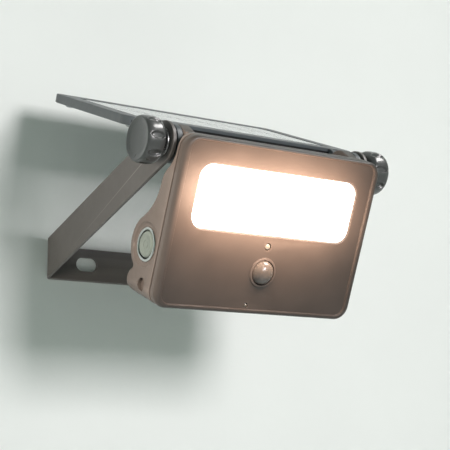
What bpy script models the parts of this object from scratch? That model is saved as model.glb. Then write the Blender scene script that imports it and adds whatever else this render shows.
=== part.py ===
"""Solar flood light: a folded wall bracket, a lamp head and a solar panel on one axis, with clamp knobs.

Sizes are in millimetres, and MM turns them into Blender's metres. X is to the right, Y goes into the wall
and Z is up. The origin is the middle of the bracket strap's wall face, and the wall is the plane Y = 0.

The lamp and the panel are each modelled square to their own axes and hang from an empty on the tilt axis:
  lamp:  -Y is the way the light shines, Z runs up the face, and the tilt axis is at Y = Z = 0
  panel: Y runs back along the panel, Z is its upper side, and the tilt axis is at Y = Z = 0
"""

import math

import bmesh
import bpy
from mathutils import Matrix, Vector

MM = 0.001
GAP = 0.3  # between pieces that touch

# Tilt axis, and the angles of lamp and panel at rest
AXIS_Y = -138.4
AXIS_Z = 47.7
LAMP_TILT = math.radians(22.2)
PANEL_TILT = math.radians(20.7)

# Bracket
SHEET = 2.0
BRACKET_HALF = 65.7
STRAP_HALF_HEIGHT = 10.3
ARM_ROOT_TOP = 14.1
ARM_HALF_WIDTH = 11.6
BEND_RADIUS = 3.2
SLOT_X = 38.5
SLOT_Z = 0.5
SLOT_HALF_LENGTH = 7.2
SLOT_HALF_WIDTH = 4.2

# Tilt hinge, from the arm inwards
STUD_RADIUS = 3.0
STUD_HOLE = 3.4
FRICTION_WASHER = (62.7, 63.4)
PANEL_KNUCKLE = (58.9, 62.4)
LAMP_KNUCKLE = (51.9, 58.6)
KNUCKLE_RADIUS = 10.6
NUT = (52.1, 57.0)
NUT_RADIUS = 5.7
FLAT_WASHER = (66.0, 66.8)
WASHER_RADIUS = 8.0
STUD = (50.5, 78.2)
KNOB_NECK_END = 67.1
KNOB_FACE = 81.1
KNOB_RADIUS = 12.9
KNOB_FACE_RADIUS = 11.9
KNOB_RECESSES = 8

# Lamp head, in its own axes
LAMP_HALF = 65.2
LAMP_TOP = 8.8
LAMP_BOTTOM = -84.4
LAMP_CORNER = 8.5
FACE_Y = -23.4
BEZEL_BACK = -18.0
HOUSING_FRONT = -16.8
PLATE_Y = -22.4  # front of the plate inside the raised rim
PLATE_BACK = -20.2
RIM_SIDE = 4.6
RIM_TOP = 2.0
RIM_BOTTOM = 3.0
WALL = 2.2
SIDE_WALL = 3.5
HINGE_POCKET = 15.6
POCKET_WALL = 2.0
TOP_REAR_Y = -9.6
BULGE = (-2.8, -55.2)  # centre of the battery bulge, and of the push button
BULGE_RADIUS = 16.6
LUG = (3.5, -76.5)
LUG_RADIUS = 6.9
LUG_HOLE = (-6.9, -76.3)
LUG_HOLE_RADIUS = 3.5
LUG_HOLE_DEPTH = 2.4

# Window, sensors and the parts behind them
WINDOW_HALF = 52.2
WINDOW_TOP = -4.8
WINDOW_BOTTOM = -39.9
WINDOW_CORNER = 7.7
LENS_FLANGE = 2.2
PIR_Z = -60.5
PIR_RADIUS = 6.9
PIR_COLLAR = 8.4
DAYLIGHT_Z = -46.0
DAYLIGHT_RADIUS = 1.7
INDICATOR = (-6.2, -79.7)
INDICATOR_RADIUS = 0.9
# Housing screws, the same on both sides: x, z, the floor of the head's seat, and the boss's rear end
SCREW_ROWS = [(40.0, 4.0, -13.0, -10.2), (58.4, -28.0, -8.0, -4.9), (54.0, -76.6, 5.0, 8.6)]
SCREW_RADIUS = 1.3
SCREW_HOLE = 1.6
SCREW_HEAD = 2.6
BOSS_RADIUS = 3.6

# Push button on the left side of the lamp
BUTTON_RECESS = 12.2
BUTTON_RECESS_DEPTH = 1.2
BUTTON_HOLE = 8.7
BUTTON_RING = 9.5
BUTTON_RADIUS = 7.4
BUTTON_FACE = 65.0

# Solar panel, in its own axes
PANEL_HALF = 78.7
PANEL_FRONT = 21.1
PANEL_BACK = 116.5
PANEL_TOP = 9.4
PANEL_UNDER = 4.2
PANEL_BORDER = 11.6
PANEL_CORNER = 6.0

ROUND = 5  # steps in each rounded corner
CIRCLE = 32  # sides of a round piece


# ---- Outlines ------------------------------------------------------------------------------------


def arc(centre, radius, start, end, steps):
    """Points on a circle from angle start to angle end, in degrees."""
    angles = [math.radians(start + (end - start) * step / steps) for step in range(steps + 1)]
    return [(centre[0] + radius * math.cos(a), centre[1] + radius * math.sin(a)) for a in angles]


def rounded(corners):
    """The outline through corners (u, v, radius), each corner rounded by its radius."""
    points = []
    for index, (u, v, radius) in enumerate(corners):
        here = Vector((u, v))
        if not radius:
            points.append((u, v))
            continue
        before = (Vector(corners[index - 1][:2]) - here).normalized()
        after = (Vector(corners[(index + 1) % len(corners)][:2]) - here).normalized()
        half = before.angle(after) / 2
        centre = here + (before + after).normalized() * radius / math.sin(half)
        start = here + before * radius / math.tan(half) - centre
        end = here + after * radius / math.tan(half) - centre
        first = math.degrees(math.atan2(start.y, start.x))
        turn = math.degrees(math.atan2(start.cross(end), start.dot(end)))
        points += arc(centre, radius, first, first + turn, ROUND)
    return points


def rectangle(left, right, low, high, radius=0.0):
    return rounded([(left, low, radius), (right, low, radius), (right, high, radius), (left, high, radius)])


def inset(points, distance):
    """The outline moved inwards by distance. The points run anticlockwise."""
    moved = []
    for index, point in enumerate(points):
        before = (Vector(point) - Vector(points[index - 1])).normalized()
        after = (Vector(points[(index + 1) % len(points)]) - Vector(point)).normalized()
        inward = (before + after).orthogonal().normalized()
        moved.append(tuple(Vector(point) + inward * distance / inward.dot(after.orthogonal())))
    return moved


# ---- Solids --------------------------------------------------------------------------------------

# A solid is drawn in (u, v) and given its depth along w. These say which way u, v and w point.
TURN = {
    "X": Matrix(((0, 0, 1), (1, 0, 0), (0, 1, 0))).to_4x4(),
    "Y": Matrix(((1, 0, 0), (0, 0, -1), (0, 1, 0))).to_4x4(),
    "Z": Matrix.Identity(4),
}


def placement(axis, low, high):
    middle = (low + high) / 2 * (-1 if axis == "Y" else 1)
    return Matrix.Scale(MM, 4) @ TURN[axis] @ Matrix.Translation((0, 0, middle))


def prism(name, outline, axis, low, high):
    """A flat outline given its depth along axis, from low to high."""
    curve = bpy.data.curves.new(name, "CURVE")
    curve.dimensions = "2D"
    curve.fill_mode = "BOTH"
    curve.extrude = (high - low) / 2
    spline = curve.splines.new("POLY")
    spline.points.add(len(outline) - 1)
    for point, (u, v) in zip(spline.points, outline):
        point.co = (u, v, 0, 1)
    spline.use_cyclic_u = True
    drawn = bpy.data.objects.new(name + "_outline", curve)
    bpy.context.scene.collection.objects.link(drawn)
    evaluated = drawn.evaluated_get(bpy.context.evaluated_depsgraph_get())
    mesh = bpy.data.meshes.new_from_object(evaluated)
    bpy.data.objects.remove(drawn)
    bm = bmesh.new()
    bm.from_mesh(mesh)
    bmesh.ops.remove_doubles(bm, verts=bm.verts, dist=0.001)
    bmesh.ops.recalc_face_normals(bm, faces=bm.faces)
    bm.transform(placement(axis, low, high))
    bm.to_mesh(mesh)
    bm.free()
    return bpy.data.objects.new(name, mesh)


def cylinder(name, axis, low, high, centre, radius, sides=CIRCLE):
    """A cylinder along axis from low to high, round the point centre."""
    mesh = bpy.data.meshes.new(name)
    bm = bmesh.new()
    bmesh.ops.create_cone(
        bm, cap_ends=True, segments=sides, radius1=radius, radius2=radius, depth=high - low
    )
    bmesh.ops.translate(bm, verts=bm.verts, vec=(centre[0], centre[1], 0))
    bm.transform(placement(axis, low, high))
    bm.to_mesh(mesh)
    bm.free()
    return bpy.data.objects.new(name, mesh)


def turned(name, profile, rotation, closed=False, sides=CIRCLE):
    """A profile of (radius, height), top to bottom down its outer side, turned about the object's Z axis."""
    mesh = bpy.data.meshes.new(name)
    bm = bmesh.new()
    points = [bm.verts.new((radius * MM, 0, height * MM)) for radius, height in profile]
    for first, second in zip(points, points[1:]):
        bm.edges.new((first, second))
    if closed:
        bm.edges.new((points[-1], points[0]))
    bm.to_mesh(mesh)
    bm.free()
    obj = bpy.data.objects.new(name, mesh)
    obj.rotation_euler = rotation
    screw = obj.modifiers.new("turn", "SCREW")
    screw.steps = screw.render_steps = sides
    screw.use_merge_vertices = True
    screw.merge_threshold = 0.00001
    screw.use_smooth_shade = False
    return obj


OUT_LEFT = (0, math.radians(-90), 0)  # a turned piece's Z points left
OUT_RIGHT = (0, math.radians(90), 0)
OUT_FRONT = (math.radians(90), 0, 0)


def material(name, colour, roughness, metallic=0.0):
    made = bpy.data.materials.new(name)
    made.use_nodes = True
    shader = made.node_tree.nodes["Principled BSDF"]
    shader.inputs["Base Color"].default_value = (*colour, 1)
    shader.inputs["Roughness"].default_value = roughness
    shader.inputs["Metallic"].default_value = metallic
    return made


def part(obj, parent, look):
    """Makes obj a piece of the light, with its own copy of the material called look."""
    bpy.data.collections["solar_flood_light"].objects.link(obj)
    obj.parent = parent
    obj.data.materials.clear()
    obj.data.materials.append(material(obj.name, *LOOKS[look]))
    return obj


def cutter(obj, parent):
    bpy.data.collections["cutters"].objects.link(obj)
    obj.parent = parent
    obj.hide_render = True
    obj.display_type = "WIRE"
    return obj


def combine(obj, operation, *others):
    for other in others:
        modifier = obj.modifiers.new(other.name, "BOOLEAN")
        modifier.operation = operation
        modifier.object = cutter(other, obj.parent)


LOOKS = {
    "bracket": ((0.05, 0.048, 0.05), 0.42, 0.6),
    "housing": ((0.03, 0.03, 0.032), 0.45),
    "knob": ((0.04, 0.042, 0.045), 0.3),
    "steel": ((0.6, 0.6, 0.62), 0.3, 1.0),
    "chrome": ((0.85, 0.86, 0.86), 0.12, 1.0),
    "button": ((0.1, 0.115, 0.105), 0.35),
    "window": ((0.95, 0.95, 0.92), 0.25),
    "sensor_lens": ((0.17, 0.155, 0.14), 0.2),
    "white_plastic": ((0.9, 0.9, 0.88), 0.5),
    "board": ((0.03, 0.16, 0.08), 0.5),
    "seal": ((0.02, 0.02, 0.02), 0.8),
    "cell": ((0.08, 0.25, 0.45), 0.4),
    "glass": ((0.015, 0.02, 0.045), 0.08),
}


# ---- Bracket -------------------------------------------------------------------------------------


def bracket():
    """One sheet folded into a U: the strap on the wall and two arms that slope up to the tilt axis."""
    outer = [
        (-BRACKET_HALF, 0, BEND_RADIUS),
        (BRACKET_HALF, 0, BEND_RADIUS),
        (BRACKET_HALF, -170, 0),
        (BRACKET_HALF - SHEET, -170, 0),
        (BRACKET_HALF - SHEET, -SHEET, BEND_RADIUS - SHEET),
        (-BRACKET_HALF + SHEET, -SHEET, BEND_RADIUS - SHEET),
        (-BRACKET_HALF + SHEET, -170, 0),
        (-BRACKET_HALF, -170, 0),
    ]
    folded = prism("wall_bracket", rounded(outer), "Z", -STRAP_HALF_HEIGHT - 5, AXIS_Z + ARM_HALF_WIDTH + 5)
    part(folded, None, "bracket")
    root_middle = (ARM_ROOT_TOP - STRAP_HALF_HEIGHT) / 2
    slope = math.degrees(math.atan2(AXIS_Z - root_middle, -AXIS_Y))
    side = [(1, -STRAP_HALF_HEIGHT), (1, ARM_ROOT_TOP), (0, ARM_ROOT_TOP)]
    side += arc((AXIS_Y, AXIS_Z), ARM_HALF_WIDTH, 90 - slope, 270 - slope, 14)
    side += [(0, -STRAP_HALF_HEIGHT)]
    combine(folded, "INTERSECT", prism("arm_outline", side, "X", -80, 80))
    inside = BRACKET_HALF - BEND_RADIUS
    above_strap = rectangle(-inside, inside, STRAP_HALF_HEIGHT, 30)
    combine(folded, "DIFFERENCE", prism("above_strap", above_strap, "Y", -20, 5))
    for side_name, sign in (("left", -1), ("right", 1)):
        slot = rectangle(
            sign * SLOT_X - SLOT_HALF_LENGTH,
            sign * SLOT_X + SLOT_HALF_LENGTH,
            SLOT_Z - SLOT_HALF_WIDTH,
            SLOT_Z + SLOT_HALF_WIDTH,
            SLOT_HALF_WIDTH - 0.05,
        )
        combine(folded, "DIFFERENCE", prism("slot_" + side_name, slot, "Y", -10, 5))
    stud_holes = cylinder("arm_stud_holes", "X", -90, 90, (AXIS_Y, AXIS_Z), STUD_HOLE, 24)
    combine(folded, "DIFFERENCE", stud_holes)


# ---- Knobs and hinge hardware --------------------------------------------------------------------


def ring(name, outer, hole, low, high, rotation):
    profile = [(outer, high), (outer, low), (hole, low), (hole, high)]
    return turned(name, profile, rotation, closed=True)


def knob(side_name, sign, axis):
    """A barrel-shaped clamp knob with finger recesses, the stud moulded into it, and what it clamps on."""
    rotation = OUT_RIGHT if sign > 0 else OUT_LEFT
    profile = [
        (0, KNOB_FACE - 1.0),
        (8.4, KNOB_FACE - 0.7),
        (11.0, KNOB_FACE - 0.1),
        (KNOB_FACE_RADIUS, KNOB_FACE - 0.4),
        (12.5, KNOB_FACE - 1.6),
        (KNOB_RADIUS, KNOB_FACE - 4.0),
        (KNOB_RADIUS, KNOB_FACE - 7.0),
        (12.4, KNOB_FACE - 9.4),
        (11.2, KNOB_FACE - 10.8),
        (9.0, KNOB_FACE - 11.4),
        (6.6, KNOB_FACE - 11.4),
        (6.4, KNOB_NECK_END),
        (0, KNOB_NECK_END),
    ]
    head = part(turned("knob_" + side_name, profile, rotation), axis, "knob")
    for index in range(KNOB_RECESSES):
        angle = math.radians(90 + 360 * index / KNOB_RECESSES)
        mesh = bpy.data.meshes.new("recess")
        bm = bmesh.new()
        bmesh.ops.create_uvsphere(bm, u_segments=10, v_segments=8, radius=1)
        bmesh.ops.scale(bm, verts=bm.verts, vec=Vector((4.4, 1.9, 1.7)) * MM)
        bm.transform(Matrix.Rotation(angle, 4, "X") @ Matrix.Translation((0, (KNOB_RADIUS + 0.4) * MM, 0)))
        bmesh.ops.translate(bm, verts=bm.verts, vec=(sign * (KNOB_FACE - 6.2) * MM, 0, 0))
        bm.to_mesh(mesh)
        bm.free()
        finger = bpy.data.objects.new(f"recess_{side_name}_{index + 1}", mesh)
        combine(head, "DIFFERENCE", finger)
    low, high = sorted((sign * (KNOB_NECK_END - 1), sign * (STUD[1] + GAP)))
    seat = cylinder("stud_seat_" + side_name, "X", low, high, (0, 0), STUD_RADIUS + GAP, 24)
    combine(head, "DIFFERENCE", seat)
    low, high = sorted((sign * STUD[0], sign * STUD[1]))
    part(cylinder("knob_stud_" + side_name, "X", low, high, (0, 0), STUD_RADIUS, 24), axis, "steel")
    part(ring("flat_washer_" + side_name, WASHER_RADIUS, STUD_HOLE, *FLAT_WASHER, rotation), axis, "steel")


def friction_washer(side_name, sign, axis):
    rotation = OUT_RIGHT if sign > 0 else OUT_LEFT
    washer = ring("friction_washer_" + side_name, WASHER_RADIUS, STUD_HOLE, *FRICTION_WASHER, rotation)
    part(washer, axis, "seal")


def captive_nut(side_name, sign, axis):
    low, high = sorted((sign * NUT[0], sign * NUT[1]))
    nut = part(cylinder("captive_nut_" + side_name, "X", low, high, (0, 0), NUT_RADIUS, 6), axis, "steel")
    bore = cylinder("nut_bore_" + side_name, "X", low - 2, high + 2, (0, 0), STUD_RADIUS + GAP, 24)
    combine(nut, "DIFFERENCE", bore)


# ---- Lamp head -----------------------------------------------------------------------------------


def lamp_side():
    """The rear housing seen from the side, in (y, z), anticlockwise from its front top corner."""
    outline = [(HOUSING_FRONT, LAMP_TOP)]
    outline += [(HOUSING_FRONT, LAMP_BOTTOM), (-4.0, LAMP_BOTTOM + 0.6)]
    outline += arc(LUG, LUG_RADIUS, -78, 62, 9)
    outline += arc(BULGE, BULGE_RADIUS, -56, 58, 10)
    outline += [(1.2, -36.6), (-2.6, -31.0), (-4.9, -24.4), (-6.0, -16.5), (TOP_REAR_Y, -10.5)]
    outline += arc((TOP_REAR_Y - 2.5, LAMP_TOP - 2.5), 2.5, 0, 90, 3)
    return outline


def face_outline(inwards=0.0):
    radius = LAMP_CORNER - inwards
    return rectangle(
        -LAMP_HALF + inwards, LAMP_HALF - inwards, LAMP_BOTTOM + inwards, LAMP_TOP - inwards, radius
    )


def rear_housing(axis):
    """The black rear shell: thin at the top, swelling into the battery bulge, with two corner lugs."""
    outline = lamp_side()
    shell = part(prism("rear_housing", outline, "X", -LAMP_HALF, LAMP_HALF), axis, "housing")
    combine(shell, "INTERSECT", prism("housing_front_view", face_outline(), "Y", -40, 40))
    inside = LAMP_HALF - SIDE_WALL
    hollow = prism("housing_hollow", inset(outline, WALL), "X", -inside, inside)
    mouth = rectangle(-inside, inside, LAMP_BOTTOM + WALL, LAMP_TOP - WALL, LAMP_CORNER - WALL)
    opening = prism("housing_mouth", mouth, "Y", HOUSING_FRONT - 2, HOUSING_FRONT + WALL + 0.5)
    combine(shell, "DIFFERENCE", hollow, opening)
    for side_name, sign in (("left", -1), ("right", 1)):
        knuckle = arc((0, 0), KNUCKLE_RADIUS, -110, 95, 16) + [(-13.5, 7.0), (-13.5, -13.0), (-8.0, -13.0)]
        low, high = sorted((sign * LAMP_KNUCKLE[0], sign * LAMP_KNUCKLE[1]))
        combine(shell, "UNION", prism("knuckle_" + side_name, knuckle, "X", low, high))
        low, high = sorted((sign * (LAMP_KNUCKLE[1] + 0.05), sign * 80))
        pocket = cylinder("hinge_pocket_" + side_name, "X", low, high, (0, 0), HINGE_POCKET)
        combine(shell, "DIFFERENCE", pocket)
        low, high = sorted((sign * (LAMP_KNUCKLE[1] - POCKET_WALL), sign * 80))
        for space in (hollow, opening):
            wall = HINGE_POCKET + POCKET_WALL
            kept = cylinder(f"{space.name}_kept_{side_name}", "X", low, high, (0, 0), wall)
            combine(space, "DIFFERENCE", kept)
        low, high = sorted((sign * 48, sign * (NUT[1] + GAP)))
        nut_seat = cylinder("nut_seat_" + side_name, "X", low, high, (0, 0), NUT_RADIUS + 0.4, 6)
        combine(shell, "DIFFERENCE", nut_seat)
        low, high = sorted((sign * 50, sign * 60))
        bore = cylinder("knuckle_bore_" + side_name, "X", low, high, (0, 0), STUD_HOLE, 24)
        combine(shell, "DIFFERENCE", bore)
        low, high = sorted((sign * (LAMP_HALF - LUG_HOLE_DEPTH), sign * 80))
        hole = cylinder("lug_hole_" + side_name, "X", low, high, LUG_HOLE, LUG_HOLE_RADIUS, 20)
        combine(shell, "DIFFERENCE", hole)
    recess_floor = -LAMP_HALF + BUTTON_RECESS_DEPTH
    combine(shell, "DIFFERENCE", cylinder("button_recess", "X", -80, recess_floor, BULGE, BUTTON_RECESS))
    combine(shell, "DIFFERENCE", cylinder("button_hole", "X", -80, -55, BULGE, BUTTON_HOLE))
    for name, x, z, seat, end in screws():
        combine(shell, "UNION", cylinder("boss" + name, "Y", HOUSING_FRONT, end, (x, z), BOSS_RADIUS, 16))
        combine(shell, "DIFFERENCE", cylinder("screw_hole" + name, "Y", -30, 40, (x, z), SCREW_HOLE, 12))
        head = cylinder("screw_seat" + name, "Y", seat, 40, (x, z), SCREW_HEAD + GAP, 16)
        combine(shell, "DIFFERENCE", head)


def screws():
    """Each housing screw's name ending, x, z, seat floor and boss end."""
    found = []
    for x, z, seat, end in SCREW_ROWS:
        for sign in (-1, 1):
            found.append((f"_{len(found) + 1}", sign * x, z, seat, end))
    return found


def front_bezel(axis):
    """The front frame: a raised rim, and a plate with the openings for the window and the sensors."""
    bezel = part(prism("front_bezel", face_outline(), "Y", FACE_Y, BEZEL_BACK), axis, "housing")
    side, low, high = LAMP_HALF - RIM_SIDE, LAMP_BOTTOM + RIM_BOTTOM, LAMP_TOP - RIM_TOP
    recess = rectangle(-side, side, low, high, LAMP_CORNER - 3.0)
    combine(bezel, "DIFFERENCE", prism("plate_recess", recess, "Y", FACE_Y - 5, PLATE_Y))
    combine(bezel, "DIFFERENCE", prism("bezel_hollow", face_outline(2.4), "Y", PLATE_BACK, 0))
    combine(bezel, "DIFFERENCE", prism("window_opening", window_outline(0), "Y", -40, 0))
    combine(bezel, "UNION", cylinder("pir_collar", "Y", PLATE_Y - 0.8, PLATE_BACK, (0, PIR_Z), PIR_COLLAR))
    for name, x, z, _, _ in screws():
        boss = cylinder("bezel_boss" + name, "Y", PLATE_BACK - 0.5, BEZEL_BACK, (x, z), BOSS_RADIUS, 16)
        combine(bezel, "UNION", boss)
        pilot = cylinder("pilot" + name, "Y", PLATE_BACK - 0.4, 0, (x, z), SCREW_HOLE, 12)
        combine(bezel, "DIFFERENCE", pilot)
    combine(bezel, "DIFFERENCE", cylinder("pir_hole", "Y", -40, 0, (0, PIR_Z), PIR_RADIUS + GAP))
    daylight = cylinder("daylight_hole", "Y", -40, 0, (0, DAYLIGHT_Z), DAYLIGHT_RADIUS + GAP, 16)
    indicator = cylinder("indicator_hole", "Y", -40, 0, INDICATOR, INDICATOR_RADIUS + GAP, 12)
    combine(bezel, "DIFFERENCE", daylight, indicator)


def window_outline(outwards):
    return rectangle(
        -WINDOW_HALF - outwards,
        WINDOW_HALF + outwards,
        WINDOW_BOTTOM - outwards,
        WINDOW_TOP + outwards,
        WINDOW_CORNER + outwards,
    )


def window_stack(axis):
    """The frosted window, the white reflector tray behind it, and the board that carries the emitters."""
    window = prism("window_lens", window_outline(-GAP), "Y", PLATE_Y + 0.2, PLATE_BACK + 1.4)
    part(window, axis, "window")
    flange = prism("window_flange", window_outline(LENS_FLANGE), "Y", PLATE_BACK + GAP, PLATE_BACK + 1.4)
    combine(window, "UNION", flange)
    tray = prism("reflector_tray", window_outline(LENS_FLANGE), "Y", PLATE_BACK + 1.7, -16.3)
    part(tray, axis, "white_plastic")
    combine(tray, "DIFFERENCE", prism("tray_opening", window_outline(-1.5), "Y", -40, 0))
    board = prism("led_board", window_outline(LENS_FLANGE - 0.6), "Y", -16.0, -15.0)
    part(board, axis, "white_plastic")
    for row in range(3):
        for column in range(8):
            x = (column - 3.5) * 12.4
            z = (WINDOW_TOP + WINDOW_BOTTOM) / 2 + (row - 1) * 10.4
            emitter = rectangle(x - 1.75, x + 1.75, z - 1.4, z + 1.4)
            combine(board, "UNION", prism(f"emitter_{row + 1}_{column + 1}", emitter, "Y", -16.8, -15.5))


def sensors(axis):
    """The motion sensor's dome, the daylight window, the indicator, and the control board behind them."""
    dome = [(0, 27.0), (3.2, 26.4), (5.6, 24.7), (PIR_RADIUS, 22.8), (PIR_RADIUS, 19.9)]
    dome += [(9.2, 19.9), (9.2, 18.9), (5.7, 18.9), (5.7, 22.4), (4.5, 24.0), (2.6, 25.3), (0, 25.8)]
    lens = turned("pir_lens", dome, OUT_FRONT)
    lens.location = (0, 0, PIR_Z * MM)
    part(lens, axis, "sensor_lens")
    can = cylinder("pir_sensor", "Y", -18.5, -13.6, (0, PIR_Z), 4.6, 24)
    part(can, axis, "steel")
    spot = (0, DAYLIGHT_Z)
    light = cylinder("daylight_window", "Y", PLATE_Y - 0.1, PLATE_BACK, spot, DAYLIGHT_RADIUS, 16)
    part(light, axis, "sensor_lens")
    dot = cylinder("indicator_light", "Y", PLATE_Y, PLATE_BACK, INDICATOR, INDICATOR_RADIUS, 12)
    part(dot, axis, "sensor_lens")
    part(prism("control_board", rectangle(-47, 47, -81, -46), "Y", -13.3, -11.7), axis, "board")


def gasket(axis):
    """The seal in the joint between the bezel and the rear housing."""
    seal = prism("housing_gasket", face_outline(0.5), "Y", BEZEL_BACK + GAP, HOUSING_FRONT - GAP)
    part(seal, axis, "seal")
    combine(seal, "DIFFERENCE", prism("gasket_hole", face_outline(1.9), "Y", -30, 0))


def housing_screws(axis):
    for name, x, z, seat, _ in screws():
        low, high = PLATE_BACK + 0.2, seat + 0.8
        shank = cylinder("housing_screw" + name, "Y", low, high, (x, z), SCREW_RADIUS, 12)
        part(shank, axis, "steel")
        head = cylinder("screw_head" + name, "Y", seat + GAP, seat + 2.3, (x, z), SCREW_HEAD, 16)
        combine(shank, "UNION", head)


def power(axis):
    """Two round cells end to end in the bulge, and the cradle that holds them."""
    y, z = 1.2, BULGE[1]
    for index, low in enumerate((-47.5, 2.6)):
        part(cylinder(f"battery_cell_{index + 1}", "X", low, low + 49.5, (y, z), 9.0, 24), axis, "cell")
    cradle = rounded([(-10.9, z - 11.2, 0), (-10.9, z + 11.2, 0), (-1.5, z + 11.2, 0), (-1.5, z - 11.2, 0)])
    holder = part(prism("battery_cradle", cradle, "X", -48.5, 53.0), axis, "white_plastic")
    combine(holder, "DIFFERENCE", cylinder("cradle_hollow", "X", -60, 60, (y, z), 9.4, 24))


def button_parts(lamp_axis, button_axis):
    """The push button in the lamp's left side, its bright ring, and the switch that it presses."""
    rotation = OUT_LEFT
    centre = (0, BULGE[0] * MM, BULGE[1] * MM)
    sleeve, bore = BUTTON_HOLE - GAP, BUTTON_RADIUS + GAP
    trim = [(BUTTON_RING, 64.9), (BUTTON_RING, 64.3), (sleeve, 64.3), (sleeve, 61.9)]
    trim += [(bore, 61.9), (bore, 64.9)]
    bright = turned("button_ring", trim, rotation, closed=True)
    bright.location = centre
    part(bright, lamp_axis, "chrome")
    cap = [
        (0, BUTTON_FACE),
        (5.2, BUTTON_FACE - 0.1),
        (6.8, BUTTON_FACE - 0.5),
        (BUTTON_RADIUS, BUTTON_FACE - 1.2),
        (BUTTON_RADIUS, 61.4),
        (sleeve, 61.4),
        (sleeve, 60.4),
        (2.5, 60.4),
        (2.5, 56.0),
        (0, 56.0),
    ]
    part(turned("push_button", cap, rotation), button_axis, "button")
    y, z = BULGE
    switch = prism("tact_switch", rectangle(y - 3, y + 3, z - 3, z + 3), "X", -54.1, -51.3)
    part(switch, lamp_axis, "seal")
    combine(switch, "UNION", cylinder("switch_plunger", "X", -54.6, -53.0, BULGE, 1.7, 16))
    board = prism("switch_board", rectangle(y - 7, y + 9, z - 9, z + 9), "X", -51.0, -49.6)
    part(board, lamp_axis, "board")


# ---- Solar panel ---------------------------------------------------------------------------------


def panel(axis):
    """The framed solar panel. Two knuckles on short bars join it to the tilt axis."""
    outline = rectangle(-PANEL_HALF, PANEL_HALF, PANEL_FRONT, PANEL_BACK, PANEL_CORNER)
    frame = part(prism("panel_frame", outline, "Z", PANEL_UNDER, PANEL_TOP), axis, "housing")
    cells = panel_inner(PANEL_BORDER)
    combine(frame, "DIFFERENCE", prism("laminate_seat", cells, "Z", PANEL_TOP - 2.2, 20))
    combine(frame, "DIFFERENCE", prism("panel_window", panel_inner(PANEL_BORDER + 4), "Z", 0, 20))
    combine(frame, "DIFFERENCE", prism("cover_seat", panel_inner(3.0), "Z", 0, PANEL_UNDER + 1.5))
    knuckle = arc((0, 0), KNUCKLE_RADIUS, 60, 300, 18)
    knuckle += [(9.0, -5.6), (21.6, PANEL_UNDER + 0.3)]
    knuckle += [(21.6, PANEL_TOP - 0.4), (18.5, PANEL_TOP - 0.4), (10.0, 5.2)]
    for side_name, sign in (("left", -1), ("right", 1)):
        low, high = sorted((sign * PANEL_KNUCKLE[0], sign * PANEL_KNUCKLE[1]))
        combine(frame, "UNION", prism("panel_knuckle_" + side_name, knuckle, "X", low, high))
        bore = cylinder("panel_bore_" + side_name, "X", low - 1, high + 1, (0, 0), STUD_HOLE, 24)
        combine(frame, "DIFFERENCE", bore)
    low, high = PANEL_TOP - 1.9, PANEL_TOP - 0.3
    laminate = prism("solar_laminate", panel_inner(PANEL_BORDER + GAP), "Z", low, high)
    part(laminate, axis, "glass")
    cover = prism("panel_back_cover", panel_inner(3.0 + GAP), "Z", PANEL_UNDER, PANEL_UNDER + 1.2)
    part(cover, axis, "housing")
    middle = (PANEL_FRONT + PANEL_BACK) / 2
    reach = (PANEL_BACK - PANEL_FRONT) / 2 - 8
    spots = [(x, middle + y) for x in (-PANEL_HALF + 8, PANEL_HALF - 8) for y in (-reach, reach)]
    for index, spot in enumerate(spots):
        hole = cylinder(f"cover_hole_{index + 1}", "Z", 0, 8.0, spot, SCREW_HOLE, 12)
        combine(cover, "DIFFERENCE", hole)
        pilot = cylinder(f"frame_pilot_{index + 1}", "Z", 0, 8.4, spot, SCREW_HOLE, 12)
        combine(frame, "DIFFERENCE", pilot)
        screw = cylinder(f"panel_screw_{index + 1}", "Z", PANEL_UNDER - 1.0, 8.0, spot, SCREW_RADIUS, 12)
        part(screw, axis, "steel")
        low, high = PANEL_UNDER - 1.6, PANEL_UNDER - GAP
        head = cylinder(f"panel_screw_head_{index + 1}", "Z", low, high, spot, SCREW_HEAD, 16)
        combine(screw, "UNION", head)


def panel_inner(border):
    return rectangle(
        -PANEL_HALF + border, PANEL_HALF - border, PANEL_FRONT + border, PANEL_BACK - border, 2.0
    )


# ---- Assembly ------------------------------------------------------------------------------------


def pivot(name, location, tilt=0.0, parent=None):
    """An empty that a body hangs from, on its joint's axis."""
    empty = bpy.data.objects.new(name, None)
    bpy.data.collections["solar_flood_light"].objects.link(empty)
    empty.location = Vector(location) * MM
    empty.rotation_euler = (tilt, 0, 0)
    empty.parent = parent
    return empty


def main():
    for obj in list(bpy.data.objects):
        bpy.data.objects.remove(obj)
    for name in ("solar_flood_light", "cutters"):
        bpy.context.scene.collection.children.link(bpy.data.collections.new(name))
    hinge = (0, AXIS_Y, AXIS_Z)
    bracket()
    arms = pivot("bracket_axis", hinge)
    lamp = pivot("lamp_axis", hinge, LAMP_TILT)
    tilted_panel = pivot("panel_axis", hinge, PANEL_TILT)
    for side_name, sign in (("left", -1), ("right", 1)):
        knob(side_name, sign, pivot("knob_axis_" + side_name, hinge))
        friction_washer(side_name, sign, arms)
        captive_nut(side_name, sign, lamp)
    rear_housing(lamp)
    front_bezel(lamp)
    window_stack(lamp)
    sensors(lamp)
    gasket(lamp)
    housing_screws(lamp)
    power(lamp)
    button_parts(lamp, pivot("button_axis", (0, *BULGE), parent=lamp))
    panel(tilted_panel)
    for obj in bpy.data.collections["solar_flood_light"].objects:
        if obj.type == "MESH":
            obj.data.shade_smooth()
            obj.data.set_sharp_from_angle(angle=math.radians(35))


main()
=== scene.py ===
"""The looks of the solar flood light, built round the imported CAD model.

Shapes are drawn in millimetres, in the axes of the body that they belong to, and MM turns them into metres.
Each piece rides on that body. Sizes inside the materials, the stage and the lights are in metres.
"""

from math import atan2, cos, degrees, hypot, pi, radians, sin, tan

import bmesh
import bpy
from mathutils import Matrix, Vector


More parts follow.
